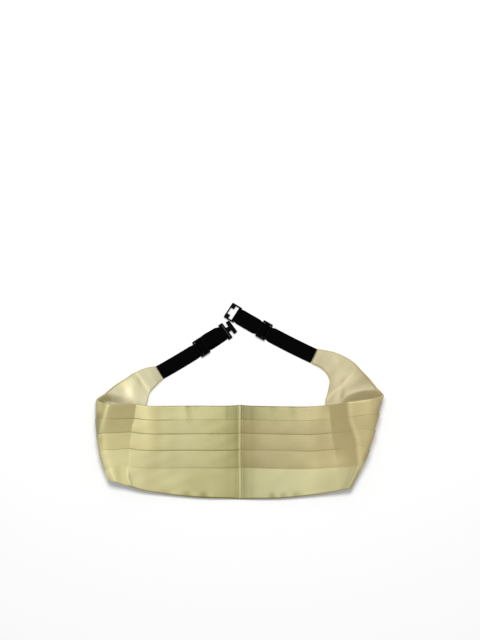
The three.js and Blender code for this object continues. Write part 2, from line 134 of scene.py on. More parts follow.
# Spacing of the cloth's grid
CLOTH_STEP = 1.45
SEAM_STEP = 0.45
SEAM_ZONE = 5           # where that finer step is used
LINING_STEP = 2.2
LINING_ROWS = 66
LINING_GUIDE = 20       # the row along which its weave is measured
ROW_STEP = 1.7
ROWS_AFTER_FOLD = [0, 0.18, 0.4, 0.75, 1.3]
ROWS_BEFORE_FOLD = [2.6, 1.7, 1.15, 0.75, 0.4, 0.16]
SLANT_STEP = 0.02       # in sections
LEAST_SLANT = 0.7
HOLLOW_POINTS = 90
TINY = 1e-8

# Rounding of the cloth's edges: reach, share of the thickness left at the very edge, least thickness
EDGE_ROLL = 1.2
EDGE_LEAST = 0.25
END_LEAST = 0.3
END_SPACING = 12        # about the length of a wing's last section
LINING_ROLL = 1.0
LINING_LEAST = 0.2
THINNEST_SATIN = 0.25
THINNEST_LINING = 0.15
LINING_FLOOR = 0.05     # the lining's lowest height

# The centre seam
SEAM_CORNER = 0.06      # half the gap between both halves
SEAM_HALF = 1.9
SEAM_RIDGE = 0.4
RIDGE_ENDS = (3.4, 1.4)
# A painted highlight on the seam's ridge: its tone, and where it ends and is full
SEAM_PAINTED_HIGHLIGHT = 0.8
SEAM_LIGHT = {"left": (2.2, 1.5), "right": (1.3, 0.6)}      # where its bright edge ends and is full

# The front is full between its edges and falls towards the seam: each fall and its reach
FULL_HEIGHT = 2.6
SEAM_FALLS = [(1.4, 38), (3, 14)]
FRONT_WAVE = 0.2
WING_WAVE = 0.35
CLOTH_WAVE = 0.04

# Form of the pleats
LIP_ROLL = 0.4          # distance over which a pleat's fold is rounded
LIP_SHARE = 0.7         # how much of its height a sharply pressed fold loses at its very edge
LIP_WIDTH = 0.3
CREVICE_DEPTH = 0.3
CREVICE_WIDTH = 0.5
# Painted shade in the pleats' crevices and beside their folds: its strength and how it fades
CREVICE_SHADE = 0.45
CREVICE_FADE = 1.4
BAND_SLOPE = 0.85       # how evenly a band slopes down to the next fold
BAND_LEAST = 1.3        # least width of a band in the narrow wing
BAND_ROOM = 0.1         # share of the panel's height that a band needs to stand at its full height
PLEAT_WANDER = 0.3
UPPER_THIRD = 0.3       # share down the half where distances from the seam are taken

# Height of each band's upper edge over plain satin
PLEAT_HEIGHTS = {"left": [0.4, 0.9, 0.8, 0.9, 0.3], "right": [0.4, 1.5, 1.7, 1.7, 0.15]}

# How sharply each pleat's fold is pressed: distance from the seam, strength
PRESSED = {
    "left": [
        [(0, 0.1), (75, 0.15), (95, 0.7), (130, 1), (160, 1), (168, 0.4), (184, 0.3)],
        [(0, 0.2), (20, 0.25), (60, 0.5), (100, 1), (172, 0.9), (184, 0.4)],
        [(0, 0.6), (40, 0.6), (100, 0.9), (160, 0.8), (172, 0.2), (184, 0.2)],
        [(0, 0.1), (20, 0.15), (110, 0.12), (130, 0), (184, 0)],
    ],
    "right": [
        [(0, 0.15), (60, 0.15), (90, 0.25), (110, 0.25), (134, 0.1), (140, 0.9), (160, 0.7), (170, 0.2),
         (184, 0.2)],
        [(0, 0.3), (40, 0.4), (70, 0.8), (115, 0.8), (128, 0.3), (150, 0.1), (165, 0.35), (184, 0.3)],
        [(0, 0.2), (30, 0.05), (60, 0.15), (85, 0.7), (120, 0.7), (130, 0), (184, 0)],
        [(0, 0), (184, 0)],
    ],
}

# Dents pressed into the front from its top or bottom edge, each with painted shade in it
DENTS = rows(
    "side edge x width reach depth shade",
    ("left", "top", -90, 9, 24, 0.12, 0.26),
    ("left", "top", -64.6, 3.6, 32, 0.4, 0.62),
    ("left", "top", -55.8, 4.4, 15, 0.3, 0.24),
    ("right", "top", 40.5, 4.6, 28, 0.25, 0.45),
    ("right", "top", 65, 4.6, 30, 0.25, 0.52),
    ("right", "top", 76, 4.6, 15, 0.15, 0.20),
    ("left", "bottom", -67, 5, 9, 0.4, 0.20),
    ("left", "bottom", -45, 4.6, 8, 0.45, 0.20),
    ("left", "bottom", -92, 5.4, 9, 0.3, 0.14),
    ("right", "bottom", 40, 4, 7, 0.35, 0.24),
    ("right", "bottom", 53, 4.4, 7, 0.35, 0.20),
    ("right", "bottom", 69, 7, 8, 0.35, 0.22),
)
BOTTOM_EDGE = 0.985     # the front's bottom edge, as a share of the panel's height
DENT_LEAN = 0.06
DENT_FADE = 1.3
DENT_LIP = 0.5          # the raised lip beside a dent, as a share of its depth
DENT_LIP_PLACE = 1.9    # in widths of the dent

# Lines of the front's creases, from the top edge down
LEFT_BEND = [(-129.8, 5), (-131.3, -16), (-134.4, -28), (-136.5, -51), (-138.3, -110)]
LEFT_OUTER = [(-165.2, 5), (-165.1, -6), (-169.7, -25), (-173.6, -47), (-166.3, -75), (-160, -100)]
LEFT_FOOT = [(-139, -76), (-138.5, -90), (-134, -108)]
RIGHT_BEND = [(133, 10), (135.2, -21), (143.4, -46), (145.5, -75), (145, -110)]
RIGHT_INNER = [(112, 10), (113.5, -21), (116, -46), (121, -75), (126, -112)]
BENDS = {"left": LEFT_BEND, "right": RIGHT_BEND}        # where each half bends up to its fold

# Creases: height at each point of the line, down where negative, and the distance over which they run out
FRONT_CREASES = rows(
    "side line heights reach",
    ("left", LEFT_BEND, [-1.2, -1.2, -1.2, -1, -0.7], 7),
    ("left", LEFT_OUTER, [1, 1, 1, 0.9, 0.7, 0.4], 3),
    ("left", LEFT_FOOT, [0, 0.6, 0.5], 2),
    ("right", RIGHT_BEND, [1, 1, 1, 0.5, 0], 7),
    ("right", RIGHT_INNER, [-0.9, -0.9, -0.7, -0.2, 0], 7),
)
# Sharp ridges of the wings, which catch the light, and soft dips
WING_RIDGES = rows(
    "side line heights reach light",
    ("left", [(-131, 43), (-123.7, 33), (-116, 22), (-113, 15), (-112, 9)],
     [0.1, 0.14, 0.12, 0.05, 0], 2, 0.75),
    ("left", [(-147, 30), (-140, 19), (-136, 9)], [0.1, 0.5, 0.1], 9, 0.25),
    ("right", [(106, 2), (110.7, 8.8), (119.5, 18.8), (131.2, 30.4), (141.9, 41.3), (148, 49)],
     [0, 0.3, 0.5, 0.5, 0.4, 0.1], 3, 0.25),
    ("right", [(118, 66), (123, 57), (124, 49)], [0.1, 0.3, 0.1], 9, 0.1),
)
WING_DIPS = rows(
    "side line heights reach",
    ("left", [(-142, 47), (-136, 34), (-129, 22), (-123, 12)], [-0.2, -0.3, -0.2, 0], 8),
    ("left", [(-118, 50), (-110, 38), (-104, 30)], [-0.2, -0.3, -0.2], 8),
    ("right", [(113, 30), (121, 39), (134, 52)], [-0.4, -0.4, 0], 10),
    ("right", [(127, 14), (140, 27), (156, 38)], [-0.2, -0.4, -0.3], 10),
    ("right", [(103, 58), (107, 52), (110, 44)], [-0.3, -0.3, 0], 8),
)
WIDEST_LIGHT = 3        # of the strips of light on the ridges

# Where the wing lifts as it leaves the fold: the line that it lifts behind, the height at each point, how far
# before the line it starts, how softly that slope ends and how far behind the lift fades
RIGHT_EDGE = [(124, 5), (133, 12), (150.3, 17.6), (169.6, 19.4)]
HOLLOWS = rows(
    "side line heights reach soft run_out",
    ("right", [(118, 3), *RIGHT_EDGE, (182, 19.4)], [0, 0.4, 2, 3.3, 3.5, 2.6], 11, 0.8, 20),
    ("left", [(-182, 12), (-170, 16), (-160.9, 15.5), (-150, 12), (-137, 8), (-129, 4)],
     [1.9, 2.1, 1.8, 1.5, 0.8, 0], 11, 3, 42),
)
# Painted shade and painted light inside each fold where the wing leaves it: upper edge, ends, changes of tone
# and of blue
LEFT_INSIDE = [(-186, 11), (-175, 13.5), (-170, 14.5), (-160, 12)]
FOLD_SHADES = rows(
    "side line ends tone blue",
    ("left", LEFT_INSIDE, (-190, -170.6), 0.04, -0.15),
    ("left", LEFT_INSIDE, (-170.6, -161.3), -0.20, -0.30),
    ("right", [(116, 3), *RIGHT_EDGE, (186, 18)], (112, 190), 0.06, -0.05),
)
SHADE_EDGE = 0.7
SHADE_END = 0.4

# Tones and colours are linear, and a half's tones are shares of its own colour. The right half's satin is
# darker and tanner than the left's as painted shade, its weave lying another way to the light
SATIN_TONE = {"left": (0.356, 0.309, 0.146), "right": (0.325, 0.263, 0.126)}
LINING_TONE = {"left": (0.276, 0.244, 0.139), "right": (0.290, 0.243, 0.130)}
LINING_GLOSS = {"left": 0.44, "right": 0.36}

# Painted shade that darkens the satin towards the seam: distance from the seam, tone
SEAM_PAINTED_SHADE = {
    "left": [(0, 0.48), (11, 0.43), (22, 0.53), (45, 0.66), (80, 0.83), (125, 1.04), (184, 1.08)],
    "right": [(0, 0.60), (14, 0.66), (30, 0.75), (60, 0.84), (90, 0.98), (115, 1.06), (184, 1.08)],
}
# How strongly each band follows that
SEAM_SHARE = {"left": [1, 1, 0.95, 0.9, 0.75], "right": [1.5, 1, 0.9, 0.9, 1]}

# Painted light and shade of each pleat's band from the top edge down, on the front and where it bends up to
# the fold
BAND_PAINTED_SHADE = {"left": [0.99, 1, 0.96, 0.97, 0.87], "right": [0.93, 0.96, 0.98, 0.97, 0.98]}
BEND_PAINTED_LIGHT_AND_SHADE = {"left": [0.92, 0.96, 1.20, 1.36, 1.42], "right": [1.10, 1.12, 1.1, 1.1, 1.05]}
BEND_SOFT = 1.2

# Painted shade on the front: on the top band from the seam outward, and on the lowest band about a middle
TOP_SHADES = rows(
    "side reach soft shade",
    ("left", 18.5, 1, 0.24),
    ("right", 37, 9, 0.26),
    ("right", 86, 8, 0.15),
)
LOW_SHADES = rows("side middle half_length shade", ("left", 45, 24, 0.22))

# Where creases of the front catch the light, with the strip's distance outward of the crease
CAUGHT_LIGHT = rows(
    "side line outward width light",
    ("left", LEFT_OUTER, 0, 1.5, 0.32),
    ("left", LEFT_FOOT, 0, 1.4, 0.14),
    ("right", RIGHT_BEND, 3.5, 2.4, 0.15),
)
LIGHT_SETS_IN = 3       # it is full after a third of the crease's first stretch

# Shaded and lit strips beside the folds and on the front
SIDE_STRIPS = rows(
    "side line width light",
    ("left", [(-174.5, -16), (-175, -34), (-172.5, -58), (-168, -74), (-165, -82)], 2.4, -0.26),
    ("left", [(-174, 5), (-172.5, -7)], 5, 0.34),
    ("left", [(-152, -84), (-150, -96)], 4.5, -0.14),
    ("left", [(-112, 0), (-112, -50)], 9, 0.16),
    ("left", [(-83, 0), (-84, -80)], 10, -0.14),
    ("left", [(-135, -92), (-133, -104)], 5, -0.22),
    ("right", [(94, -74), (122, -74)], 11, 0.20),
    ("right", [(174, 1), (170, -14), (168.5, -33), (162, -52), (154, -71)], 2.6, -0.28),
)

# Tints of the bands as far as a distance from the seam: warmer at the top, greener at the bottom
TINTS = rows(
    "side band color reach",
    ("right", 0, (1.03, 0.965, 0.93), 92),
    ("right", len(PLEATS), (0.97, 1.07, 1.14), HALF_LENGTH),
)
TINT_SOFT = 10

# Satin brightened by painted light is greener and bluer, satin darkened by painted shade is yellower: from
# which tone, and by how much
GREENER_ABOVE, GREENER = 1.05, 0.12
BLUER_ABOVE, BLUER = 1.1, 0.4
YELLOWER_BELOW, YELLOWER = 0.75, 1.4
YELLOWEST = 0.5         # how far below that tone it stops
SATIN_MOTTLE = 0.025
LINING_MOTTLE = 0.03

# Painted highlights and painted shade on the wings, turned by degrees
WING_LIGHT_AND_SHADE_SPOTS = rows(
    "side x y half_length half_width turn tone blue",
    ("left", -139, 17, 14, 7, 80, 1.05, 0.1),
    ("left", -136, 40, 9, 5, -60, -0.20, -0.15),
    ("left", -112, 31, 18, 9, -50, -0.24, -0.12),
    ("left", -129, 27, 12, 5.5, 75, -0.24, -0.22),
    ("left", -148, 28, 9, 6, 25, 0.28, -0.18),
    ("left", -158, 19, 8, 3.5, 15, -0.12, -0.05),
    ("right", 104, 60, 13, 13, 0, -0.22, -0.05),
    ("right", 121, 57, 9, 6, 60, 0.08, 0.05),
    ("right", 113, 27, 15, 4.5, 78, -0.28, -0.25),
    ("right", 154, 42, 12, 7, -40, -0.15, -0.05),
    ("right", 158, 27, 9, 5, 10, 0.10, 0),
    ("right", 135.5, 48.5, 10, 6, -30, -0.10, -0.15),
)
# Painted light along the wings' edges and on the satin's margin beside them
RIM_LIGHT = 0.6         # brighter cloth along the wings' edges
RIM_WIDTH = 0.8
MARGIN = (2.6, 1.8)     # from the edge, where the satin turns to the lining's colour

# The wing's end is turned in as a hem, with a line of stitches beside it
HEM_RISE = 0.06
HEM_EDGE = (8.5, 10)
STITCH_LINE = 10.2
STITCH_DEPTH = 0.03
STITCH_WIDTH = 0.9
STITCH_SHADE = 0.04
STITCH_SHADE_WIDTH = 0.8

# The elastic is wider where it lies free, and the left one's upper layer lies partly beside the lower one
FREE_WIDTH = {"left": 19.2, "right": 20.2}
FAN = {"left": 3.6, "right": 0}
FAN_LEAST = 0.4         # share of the fan that is left at the clasp
FAN_FROM_SLIDE = (2.5, 7)
FAN_TO_CLASP = (4, 10)
SQUEEZE_AT_SLIDE = (7, 12)
SQUEEZE_AT_CLASP = (3, 9)
WEBBING_ROLL = 0.5
WEBBING_COLUMNS = 67
WEBBING_RIM = np.array([0, 0.06, 0.2, 0.45])        # grid lines beside each edge
WEBBING_INNER = 0.75
WEBBING_STEP = 1.2
LEAST_STEPS = 4         # between two points of its route
TURN_STEP = 0.01        # to both sides of a place, for its direction
RIB_HEIGHT = 0.05
RIB_WIDTH = 1.5
RIB_MARGIN = 0.6
PLAN_POINTS = 401
LEVEL_STEP = 16

# How the strap eases onto and off the slide's middle bar, in strap walls: out from the bar, down or up
ONTO_SLIDE = (0.3, 1.1)
OFF_SLIDE = (0.1, 0.4)
FROM_SLIDE = (0.6, 0.5)
CLASP_LEAD = 2          # bar widths before the clasp's bar where the strap starts to rise
CLASP_RISE = 0.4        # share of its clearance that the strap has risen one bar width before that bar
LIFT_UNDER_SLIDE = 1.1  # half walls above the surface where the returning strap reaches the slide's bar

# Levels of the clasp's bar and the slide, the room of the strap round a bar, and the slide's length
BAR_LEVEL = STRAP_WALL + GAP
SLIDE_LEVEL = 2 * STRAP_WALL + 2 * GAP
FOLD_ROOM = STRAP_WALL + 2 * GAP
SLIDE_LENGTH = 2 * SLIDE_BAR + 2 * SLIDE_WINDOW + SLIDE_MIDDLE

# Rounded edges of the hard pieces
BEVEL = 0.35
BEVEL_STEPS = 3
SHARP_ANGLE = 35        # degrees
WELD = 1e-6             # metres

# Floor, light and camera, in metres
FLOOR_HALF = 3
FLOOR_DROP = 0.0002
FLOOR_GLOW = 0.2        # lightens the shadows
SOFTBOX_PLACE = (0, 0.5, 1.9)
SOFTBOX_SIZE = (0.9, 0.8)
SOFTBOX_WATTS = 37
ROOM_LIGHT = 0.42
VIEW_ELEVATION = math.radians(75)
VIEW_DISTANCE = 2.4
AIM = (0.00022, 0.10376, 0)


def bell(away, width):
    """1 on a line and soft down to 0 on both sides of it."""
    return np.exp(-(away / width) ** 2)


def sharp(away, width):
    """1 on a line, with a crease there, and down to 0 on both sides of it."""
    return np.exp(-np.abs(away) / width)


def smoothstep(edge0, edge1, x):
    t = np.clip((x - edge0) / (edge1 - edge0), 0, 1)
    return t * t * (3 - 2 * t)


def unit(v):
    return v / np.maximum(np.linalg.norm(v, axis=-1, keepdims=True), TINY)


def run_of(points):
    """Length along a line of points as far as each of them."""
    return np.concatenate([[0], np.cumsum(np.linalg.norm(np.diff(points, axis=0), axis=-1))])


def nearest_on(line, x, y):
    """Signed distance to a line of points, positive to its right, and the place along it in points."""
    best = np.full(x.shape, np.inf)
    signed, place = np.zeros(x.shape), np.zeros(x.shape)
    for n, ((x0, y0), (x1, y1)) in enumerate(zip(line[:-1], line[1:])):
        dx, dy = x1 - x0, y1 - y0
        w = np.clip(((x - x0) * dx + (y - y0) * dy) / (dx * dx + dy * dy), 0, 1)
        away = np.hypot(x - x0 - w * dx, y - y0 - w * dy)
        hand = np.sign((x - x0) * dy - (y - y0) * dx)
        closer = away < best
        best = np.where(closer, away, best)
        signed = np.where(closer, away * hand, signed)
        place = np.where(closer, n + w, place)
    return signed, place


def smooth_curve(points):
    """A centripetal Catmull-Rom curve through points, taken at s, counted in points."""
    points = np.array(points, float)
    reach = np.vstack([2 * points[0] - points[1], points, 2 * points[-1] - points[-2]])

    def at(s):
        s = np.clip(np.asarray(s, float), 0, len(points) - 1)
        n = np.minimum(s.astype(int), len(points) - 2)
        w = (s - n)[..., None]
        a, b, c, d = (reach[n + k] for k in range(4))
        span = [np.maximum(np.linalg.norm(q - p, axis=-1, keepdims=True), TINY) ** 0.5
                for p, q in ((a, b), (b, c), (c, d))]
        t1 = ((b - a) / span[0] - (c - a) / (span[0] + span[1]) + (c - b) / span[1]) * span[1]
        t2 = ((c - b) / span[1] - (d - b) / (span[1] + span[2]) + (d - c) / span[2]) * span[1]
        return b + w * (t1 + w * ((-3 * b + 3 * c - 2 * t1 - t2) + w * (2 * b - 2 * c + t1 + t2)))

    return at


def wander(x, seed, wave, overtones=4, sizes=(0.4, 1), peak=1.6):
    """A smooth random line from about -1 to 1, of a wave and its overtones."""
    rng = np.random.default_rng(seed)
    total = np.zeros_like(x, dtype=float)
    for k in range(1, overtones + 1):
        size = rng.uniform(*sizes) / k
        total += size * np.sin(2 * math.pi * x * k / wave + rng.uniform(0, 2 * math.pi))
    return total / peak


def rolling(x, y, seed, wave, spread=math.pi, waves=7, lengths=(0.6, 1.6)):
    """A smooth random field from about -1 to 1, its waves within a spread of the X direction."""
    rng = np.random.default_rng(seed)
    total = np.zeros_like(x, dtype=float)
    for _ in range(waves):
        turn = rng.uniform(-spread, spread)
        length = wave * rng.uniform(*lengths)
        along = x * math.cos(turn) + y * math.sin(turn)
        total += np.sin(2 * math.pi * along / length + rng.uniform(0, 2 * math.pi))
    return total / (waves / 2)


def from_dent(dent, x, y):
    """Distance inward from a dent's edge of the front, and sideways from its leaning middle line."""
    inward = -y if dent.edge == "top" else y + BOTTOM_EDGE * PANEL_HEIGHT
    return inward, x - dent.x - DENT_LEAN * inward


class Band:
    """One half of the band as a surface between satin and lining."""

    def __init__(self, side):
        self.side = side
        self.sign = SIDES[side]
        sections = SECTIONS[side]
        self.last = len(sections) - 1
        under_satin = SATIN_WALL + PLEAT_STEP + GAP / 2
        low = np.where(np.arange(len(sections)) < FOLD_ROW, LINING_WALL + GAP, under_satin)
        room = FOLD_HEIGHT - under_satin - low
        self.floor = low

        def placed(ends):
            x, y, rise = np.array(ends).T
            return np.stack([self.sign * x * HALF_LENGTH, y * PANEL_HEIGHT, low + rise * room], -1)

        tops = placed([row.top for row in sections])
        ends = placed([row.end for row in sections])
        middles = (tops + ends) / 2
        middles[:, 0] += self.sign * np.array([row.bow for row in sections]) * HALF_LENGTH
        self.knots = tops, middles
        self.curves = [smooth_curve(points) for points in (tops, middles, ends)]

    def surface(self, s, v):
        """Points of the surface: s in sections from the seam, v from the top to the bottom edge."""
        s, v = np.broadcast_arrays(s, v)
        top, middle, end = (curve(s) for curve in self.curves)
        w = v[..., None]
        points = (1 - w) * (1 - 2 * w) * top + 4 * w * (1 - w) * middle + w * (2 * w - 1) * end
        low = np.interp(s, np.arange(self.last + 1), self.floor)
        points[..., 2] = np.maximum(points[..., 2], low)
        return points

    def stations(self, step, seam_step=None):
        """Places about a step apart, in sections, and beside the seam also a finer step apart."""
        tops, middles = self.knots
        places = []
        for n in range(self.last):
            length = max(np.linalg.norm(tops[n + 1] - tops[n]), np.linalg.norm(middles[n + 1] - middles[n]))
            count = math.ceil(length / step)
            places += [n + k / count for k in range(count)]
            if n == 0 and seam_step:
                places += [SEAM_CORNER / length, *(np.arange(0, SEAM_ZONE, seam_step) / length)]
        return np.unique(np.round(places + [self.last], 5))

    def width(self, s):
        return np.linalg.norm(self.surface(s, 0.0) - self.surface(s, 1.0), axis=-1)

    def slant(self, s):
        """How much longer the way down the band is than square to its top edge."""
        after, before = np.minimum(s + SLANT_STEP, self.last), np.maximum(s - SLANT_STEP, 0)
        along = unit(self.surface(after, 0.0) - self.surface(before, 0.0))
        down = unit(self.surface(s, 1.0) - self.surface(s, 0.0))
        return 1 / np.maximum(np.linalg.norm(np.cross(along, down), axis=-1), LEAST_SLANT)

    def outward_of(self, line, x, y):
        """Distance outward from a line that runs down the front, and the place along it in points."""
        away, place = nearest_on(line, x, y)
        return -away * self.sign, place

    def fullness(self, x, y):
        """Height of the front over its flat surface."""
        from_seam = np.maximum(np.abs(x), SEAM_HALF)
        high = FULL_HEIGHT + FRONT_WAVE * rolling(x, y, seed=11 + self.sign, wave=60, spread=0.3)
        for fall, reach in SEAM_FALLS:
            high -= fall * np.exp(-from_seam / reach)
        return high

    def dents(self, x, y):
        """How far dents press the front down, with a low lip beside each."""
        down = np.zeros_like(x)
        for dent in of_side(DENTS, self.side):
            inward, sideways = from_dent(dent, x, y)
            fade = np.clip(1 - inward / dent.reach, 0, 1) ** DENT_FADE
            lip = DENT_LIP * bell(sideways - DENT_LIP_PLACE * dent.width, dent.width)
            down += dent.depth * fade * (bell(sideways, dent.width) - lip)
        return down

    def creases(self, table, form, x, y):
        """Height of this half's creases of a table, each with the same form across it."""
        high = np.zeros_like(x)
        for crease in of_side(table, self.side):
            away, place = nearest_on(crease.line, x, y)
            high += np.interp(place, range(len(crease.line)), crease.heights) * form(away, crease.reach)
        return high

    def hollow(self, x, y):
        """How far the wing lifts behind a line as it leaves the fold."""
        high = np.zeros_like(x)
        for hollow in of_side(HOLLOWS, self.side):
            curve = smooth_curve([(*point, height) for point, height in zip(hollow.line, hollow.heights)])
            path = curve(np.linspace(0, len(hollow.line) - 1, HOLLOW_POINTS))
            beyond = y - np.interp(x, path[:, 0], path[:, 1])
            before = (np.sqrt(beyond ** 2 + hollow.soft ** 2) - beyond) / 2
            rise = np.clip(1 - before / hollow.reach, 0, 1) * bell(np.maximum(beyond, 0), hollow.run_out)
            high += np.interp(x, path[:, 0], path[:, 2]) * rise
        return high

    def creased(self, s, points):
        """The surface's points with the form of the front and of the wing added."""
        x, y = points[..., 0], points[..., 1]
        front = np.interp(s, FRONT_ENDS, (1, 0))
        wing = np.interp(s, WING_BEGINS, (0, 1))
        lift = front * (self.fullness(x, y) - self.dents(x, y) + self.creases(FRONT_CREASES, sharp, x, y))
        lift += wing * (self.creases(WING_RIDGES, sharp, x, y) + self.creases(WING_DIPS, bell, x, y))
        lift += wing * WING_WAVE * rolling(x, y, seed=14 + self.sign, wave=42)
        lift += np.interp(s, LIFT_BEGINS, (0, 1)) * self.hollow(x, y)
        lift += CLOTH_WAVE * rolling(x, y, seed=21 + self.sign, wave=24)
        points = points.copy()
        points[..., 2] += lift
        return points

    def normals(self, points):
        """The direction out of the satin side on a grid of points, stations first."""
        along = np.gradient(points, axis=0)
        down = np.gradient(points, axis=1)
        return unit(np.cross(along, down)) * -self.sign


def rolled(distance, reach, least):
    """How much of its thickness cloth keeps at a distance from its rounded edge."""
    t = np.clip(distance / reach, 0, 1)
    return least + (1 - least) * np.sqrt(1 - (1 - t) ** 2)


def solid(name, outer, inner, uv, colors=None):
    """A closed mesh between two grids of points, with the weave's place and a colour for each of them."""
    rows_in, columns_in = outer.shape[:2]
    points = np.concatenate([outer.reshape(-1, 3), inner.reshape(-1, 3)])
    grid = np.arange(rows_in * columns_in).reshape(rows_in, columns_in)
    far = grid + rows_in * columns_in

    def quads(a, b, c, d):
        return np.stack([a, b, c, d], -1).reshape(-1, 4)

    faces = np.concatenate([
        quads(grid[:-1, :-1], grid[:-1, 1:], grid[1:, 1:], grid[1:, :-1]),
        quads(far[:-1, :-1], far[1:, :-1], far[1:, 1:], far[:-1, 1:]),
        quads(grid[:-1, 0], grid[1:, 0], far[1:, 0], far[:-1, 0]),
        quads(grid[:-1, -1], far[:-1, -1], far[1:, -1], grid[1:, -1]),
        quads(grid[0, :-1], far[0, :-1], far[0, 1:], grid[0, 1:]),
        quads(grid[-1, :-1], grid[-1, 1:], far[-1, 1:], far[-1, :-1]),
    ])
    a, b, c, d = (points[faces[:, k]] for k in range(4))
    volume = np.einsum("ij,ij->", a, np.cross(b, c)) + np.einsum("ij,ij->", a, np.cross(c, d))
    if volume < 0:
        faces = faces[:, ::-1]
    mesh = bpy.data.meshes.new(name)
    mesh.from_pydata(((points + SEAM_PLACE) * MM).tolist(), [], faces.tolist())
    mesh.polygons.foreach_set("use_smooth", np.ones(len(faces), bool))
    if colors is not None:
        both = np.concatenate([colors.reshape(-1, 3)] * 2)
        opaque = np.concatenate([both, np.ones((len(both), 1))], 1)
        layer = mesh.color_attributes.new("cloth_color_and_painted_light", "FLOAT_COLOR", "POINT")
        layer.data.foreach_set("color", opaque.astype(np.float32).ravel())
    both = np.concatenate([uv.reshape(-1, 2)] * 2)
    layer = mesh.uv_layers.new(name="weave")
    corners = np.zeros(len(mesh.loops), np.int32)
    mesh.loops.foreach_get("vertex_index", corners)
    layer.data.foreach_set("uv", both[corners].astype(np.float32).ravel())
    mesh.validate()
    mesh.update()
    piece = bpy.data.objects.new(name, mesh)
    bpy.context.collection.objects.link(piece)
    return piece


def cloth_uv(points, guide, depth):
    """Metres along the cloth, taken along one row of its grid, and metres down from its top edge."""
    along = run_of(points[:, guide])
    return np.stack([np.broadcast_to(along[:, None], depth.shape), depth], -1) * MM


# Materials

def material(name, roughness, color=(1, 1, 1), **sockets):
    made = bpy.data.materials.new(name)
    made.use_nodes = True
    shader = made.node_tree.nodes["Principled BSDF"]
    shader.inputs["Base Color"].default_value = (*color, 1)
    shader.inputs["Roughness"].default_value = roughness
    for socket, value in sockets.items():
        shader.inputs[socket.replace("_", " ")].default_value = value
    return made, shader


def add_weave(made, shader, thread, strength, depth, stretch):
    """Fine threads as a bump, sized in metres by the cloth's own length and width."""
    nodes, links = made.node_tree.nodes, made.node_tree.links
    place = nodes.new("ShaderNodeUVMap")
    place.uv_map = "weave"
    scale = nodes.new("ShaderNodeMapping")
    scale.inputs["Scale"].default_value = (stretch[0] / thread, stretch[1] / thread, 1)
    noise = nodes.new("ShaderNodeTexNoise")
    noise.inputs["Scale"].default_value = 1
    noise.inputs["Detail"].default_value = 3
    bump = nodes.new("ShaderNodeBump")
    bump.inputs["Strength"].default_value = strength
    bump.inputs["Distance"].default_value = depth
    links.new(place.outputs["UV"], scale.inputs["Vector"])
    links.new(scale.outputs["Vector"], noise.inputs["Vector"])
    links.new(noise.outputs["Fac"], bump.inputs["Height"])
    links.new(bump.outputs["Normal"], shader.inputs["Normal"])


def color_from_mesh(made, shader):
    attribute = made.node_tree.nodes.new("ShaderNodeVertexColor")
    attribute.layer_name = "cloth_color_and_painted_light"
    made.node_tree.links.new(attribute.outputs["Color"], shader.inputs["Base Color"])


def satin_material(side):
    made, shader = material(f"satin_{side}", roughness=0.30, Specular_IOR_Level=0.42,
                            Specular_Tint=(1.0, 1.0, 0.6, 1))
    color_from_mesh(made, shader)
    add_weave(made, shader, thread=0.4 * MM, strength=0.18, depth=0.2 * MM, stretch=(0.15, 1))
    return made


def lining_material(side):
    made, shader = material(f"lining_{side}", roughness=0.30, Specular_IOR_Level=LINING_GLOSS[side],
                            Specular_Tint=(1.0, 0.97, 0.72, 1))
    color_from_mesh(made, shader)
    add_weave(made, shader, thread=0.4 * MM, strength=0.15, depth=0.2 * MM, stretch=(1, 0.15))
    return made


def elastic_material(side):
    made, shader = material(f"elastic_{side}", roughness=0.75, color=(0.0018, 0.0018, 0.0019),
                            Specular_IOR_Level=0.0)
    add_weave(made, shader, thread=0.6 * MM, strength=0.5, depth=0.3 * MM, stretch=(1, 0.4))
    return made


def clasp_material(name):
    made, _ = material(name, roughness=0.4, color=(0.0022, 0.0022, 0.0023), Specular_IOR_Level=0.004)
    return made


def floor_material():
    made, _ = material("floor", roughness=0.9, color=(0.64, 0.64, 0.64), Specular_IOR_Level=0.1,
                       Emission_Color=(1, 1, 1, 1), Emission_Strength=FLOOR_GLOW)
    return made


def finish_piece(piece, made, node):
    piece.data.materials.append(made)
    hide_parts(node)
    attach(piece, "root")
    return piece


# Satin with its pleats: rows of the grid in fixed bands between the folded edges

# Share of the way down, depth below the top edge, whole width, height over plain satin, how deep in a crevice
# and the band of each row
Layout = namedtuple("Layout", "share depth total height crevice index")


def band_rows():
    """For each row the band that it is in and its share of that band."""
    anchors = [0, *(share * PANEL_HEIGHT for share in PLEATS), PANEL_HEIGHT]
    places = []
    for n in range(len(anchors) - 1):
        width = anchors[n + 1] - anchors[n]
        first, last = ROWS_AFTER_FOLD[-1], width - ROWS_BEFORE_FOLD[0]
        count = math.ceil((last - first) / ROW_STEP)
        between = np.linspace(first, last, count + 1)[1:-1]
        depths = [*ROWS_AFTER_FOLD, *between, *(width - d for d in ROWS_BEFORE_FOLD)]
        places += [(n, d / width) for d in depths]
    places.append((len(anchors) - 2, 1.0))
    index, share = zip(*places)
    return np.array(index), np.array(share)


